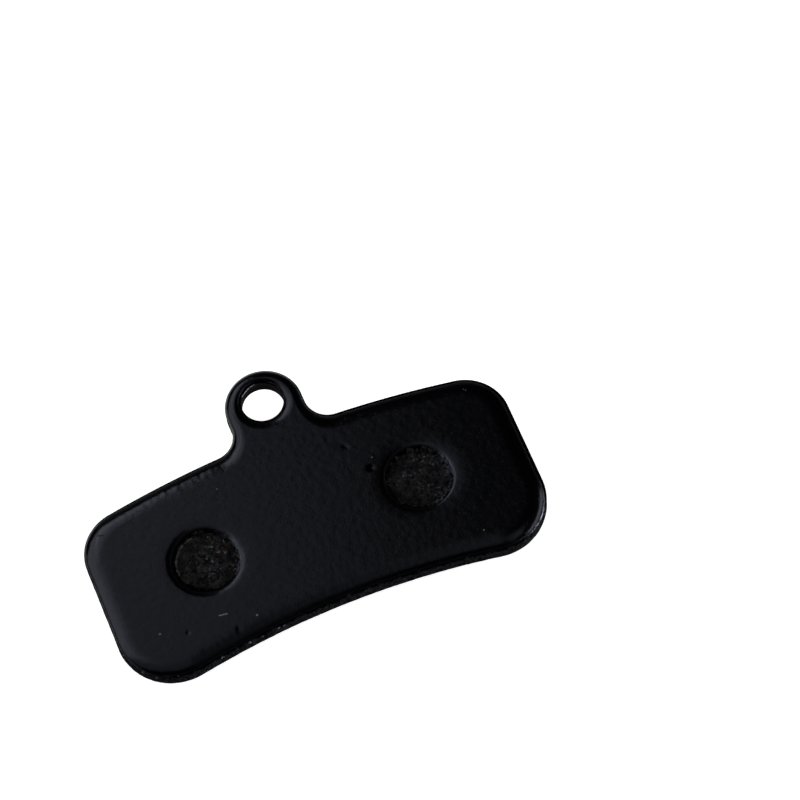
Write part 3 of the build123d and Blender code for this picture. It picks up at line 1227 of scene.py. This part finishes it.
# Ceiling panels, by their edges at a height of one above the pad, and wall panels that stand low round it
Panel = namedtuple("Panel", "name left right front back radiance")
PANEL_HEIGHT = 0.9
PANEL_STEP = 0.01
ORIGIN = (0.0, 0.0, 0.0)
BOTH, MATT, GLOSS = range(3)
PANELS = (
    Panel("ceiling_left", -1.6, 0.075, -0.5, 0.54, 0.21),
    Panel("ceiling_low", -2.3, 0.11, -0.5, 0.54, 0.08),
    Panel("ceiling_front", -2.3, 0.11, -0.3, 0.54, 0.15),
    Panel("ceiling_middle", -2.3, 0.128, -0.03, 0.54, 0.08),
    Panel("ceiling_upper", -2.3, 0.128, 0.1, 0.54, 0.1),
    Panel("ceiling_back", -2.3, 0.135, 0.46, 0.54, 0.2),
    Panel("front_right", 0.12, 0.4, -0.45, 0.0, 0.12),
    Panel("front_far", 0.12, 0.4, -0.9, -0.1, 0.1),
    Panel("left_near", -2.6, -0.2, 0.0, 0.57, 0.15),
    Panel("left_middle", -2.6, -0.3, 0.05, 0.57, 0.2),
    Panel("left_far", -2.6, -0.45, 0.1, 0.57, 0.3),
    Panel("left_low", -2.6, -0.62, 0.15, 0.57, 0.4),
    Panel("back_corner", -2.6, -0.3, 0.55, 1.5, 1.8),
    Panel("back_left_near", -0.35, 0.045, 0.53, 0.8, 1.6),
    Panel("back_left_far", -0.35, 0.03, 0.8, 1.35, 2.5),
)
Wall = namedtuple("Wall", "name place width height radiance lights", defaults=[BOTH])
WALLS = (
    Wall("low_key", (0.444, -0.207, 0.14), 0.84, 0.15, 6.0, MATT),
    Wall("glint", (0.444, -0.207, 0.042), 0.84, 0.056, 13.0, GLOSS),
    Wall("glint_soft", (0.42, -0.13, 0.31), 0.5, 0.16, 0.9),
    Wall("low_left", (-2.0, 0.4, 0.45), 2.4, 0.7, 0.5),
    Wall("low_front", (0.0, -2.0, 0.8), 3.0, 0.9, 0.2),
    Wall("low_right", (2.0, 0.6, 0.7), 2.4, 0.8, 0.11),
    Wall("low_back", (0.4, 2.2, 0.7), 2.4, 0.7, 0.16),
)


def make_lamp(name, place, aim, width, height, radiance, lights=BOTH):
    """Rectangular soft box of that radiance that looks at its aim, and that the camera doesn't see.

    It lights matt finishes, glossy ones or both.
    """
    data = bpy.data.lights.new(name, "AREA")
    data.shape = "RECTANGLE"
    data.size = width
    data.size_y = height
    data.energy = radiance * math.pi * width * height
    holder = bpy.data.objects.new(name, data)
    holder.location = place
    sight = Vector(aim) - Vector(place)
    holder.rotation_mode = "QUATERNION"
    holder.rotation_quaternion = sight.to_track_quat("-Z", "Y")
    holder.visible_camera = False
    holder.visible_glossy = lights != MATT
    holder.visible_diffuse = lights != GLOSS
    bpy.context.scene.collection.objects.link(holder)


def make_lamps(stage):
    """Ceiling panels that grow brighter to the left and the back, low wall panels and a dim grey surround."""
    for order, panel in enumerate(PANELS):
        height = PANEL_HEIGHT + PANEL_STEP * order
        x = height * (panel.left + panel.right) / 2
        y = height * (panel.front + panel.back) / 2
        width = height * (panel.right - panel.left)
        depth = height * (panel.back - panel.front)
        make_lamp(panel.name, (x, y, height), (x, y, 0.0), width, depth, panel.radiance)
    for wall in WALLS:
        make_lamp(wall.name, wall.place, ORIGIN, wall.width, wall.height, wall.radiance, wall.lights)
    world = bpy.data.worlds.new("surround")
    world.use_nodes = True
    backdrop = world.node_tree.nodes["Background"]
    backdrop.inputs["Color"].default_value = (*WHITE, 1.0)
    backdrop.inputs["Strength"].default_value = stage.surround
    bpy.context.scene.world = world


def make_camera(scene, stage):
    """Camera that looks at one point of the pad's back from a given azimuth, elevation, roll and distance."""
    flat = math.cos(stage.elevation)
    across, along = math.sin(stage.azimuth), math.cos(stage.azimuth)
    sight = Vector((across * flat, along * flat, -math.sin(stage.elevation)))
    right = Vector((along, -across, 0.0))
    upright = Matrix((right, right.cross(sight), -sight)).transposed()
    rolled = upright @ Matrix.Rotation(stage.roll, 3, "Z")
    data = bpy.data.cameras.new("front_camera")
    data.lens = stage.lens
    data.sensor_width = SENSOR_WIDTH
    camera = bpy.data.objects.new("front_camera", data)
    target = Vector((stage.target_x, stage.target_y, PLATE_BACK_Z))
    camera.matrix_world = Matrix.LocRotScale(target - stage.distance * sight, rolled.to_quaternion(), None)
    scene.collection.objects.link(camera)
    scene.camera = camera


class BRAKEPAD_PT_sidebar(bpy.types.Panel):
    """Sizes, finishes and steps of the brake pad"""

    bl_idname = "BRAKEPAD_PT_sidebar"
    bl_label = "Disc Brake Pad"
    bl_space_type = "VIEW_3D"
    bl_region_type = "UI"
    bl_category = "Brake Pad"

    def draw(self, context):
        for step in STEPS:
            self.layout.operator(step.bl_idname)
        for group, name in GROUPS.items():
            box = self.layout.box()
            box.label(text=group.__doc__)
            settings = getattr(context.scene, name)
            for key in group.__annotations__:
                box.prop(settings, key)


GROUPS = {
    PlateSizes: "brakepad_plate",
    LiningSizes: "brakepad_lining",
    Finishes: "brakepad_finishes",
    StageSettings: "brakepad_stage",
}
STEPS = (BRAKEPAD_OT_plate, BRAKEPAD_OT_lining, BRAKEPAD_OT_stage)


def register():
    for group, name in GROUPS.items():
        bpy.utils.register_class(group)
        setattr(bpy.types.Scene, name, PointerProperty(type=group))
    for step in STEPS:
        bpy.utils.register_class(step)
    bpy.utils.register_class(BRAKEPAD_PT_sidebar)


def unregister():
    bpy.utils.unregister_class(BRAKEPAD_PT_sidebar)
    for step in reversed(STEPS):
        bpy.utils.unregister_class(step)
    for group, name in reversed(GROUPS.items()):
        delattr(bpy.types.Scene, name)
        bpy.utils.unregister_class(group)


def main():
    register()
    bpy.ops.brakepad.plate()
    bpy.ops.brakepad.lining()
    bpy.ops.brakepad.stage()


if __name__ == "__main__":
    main()
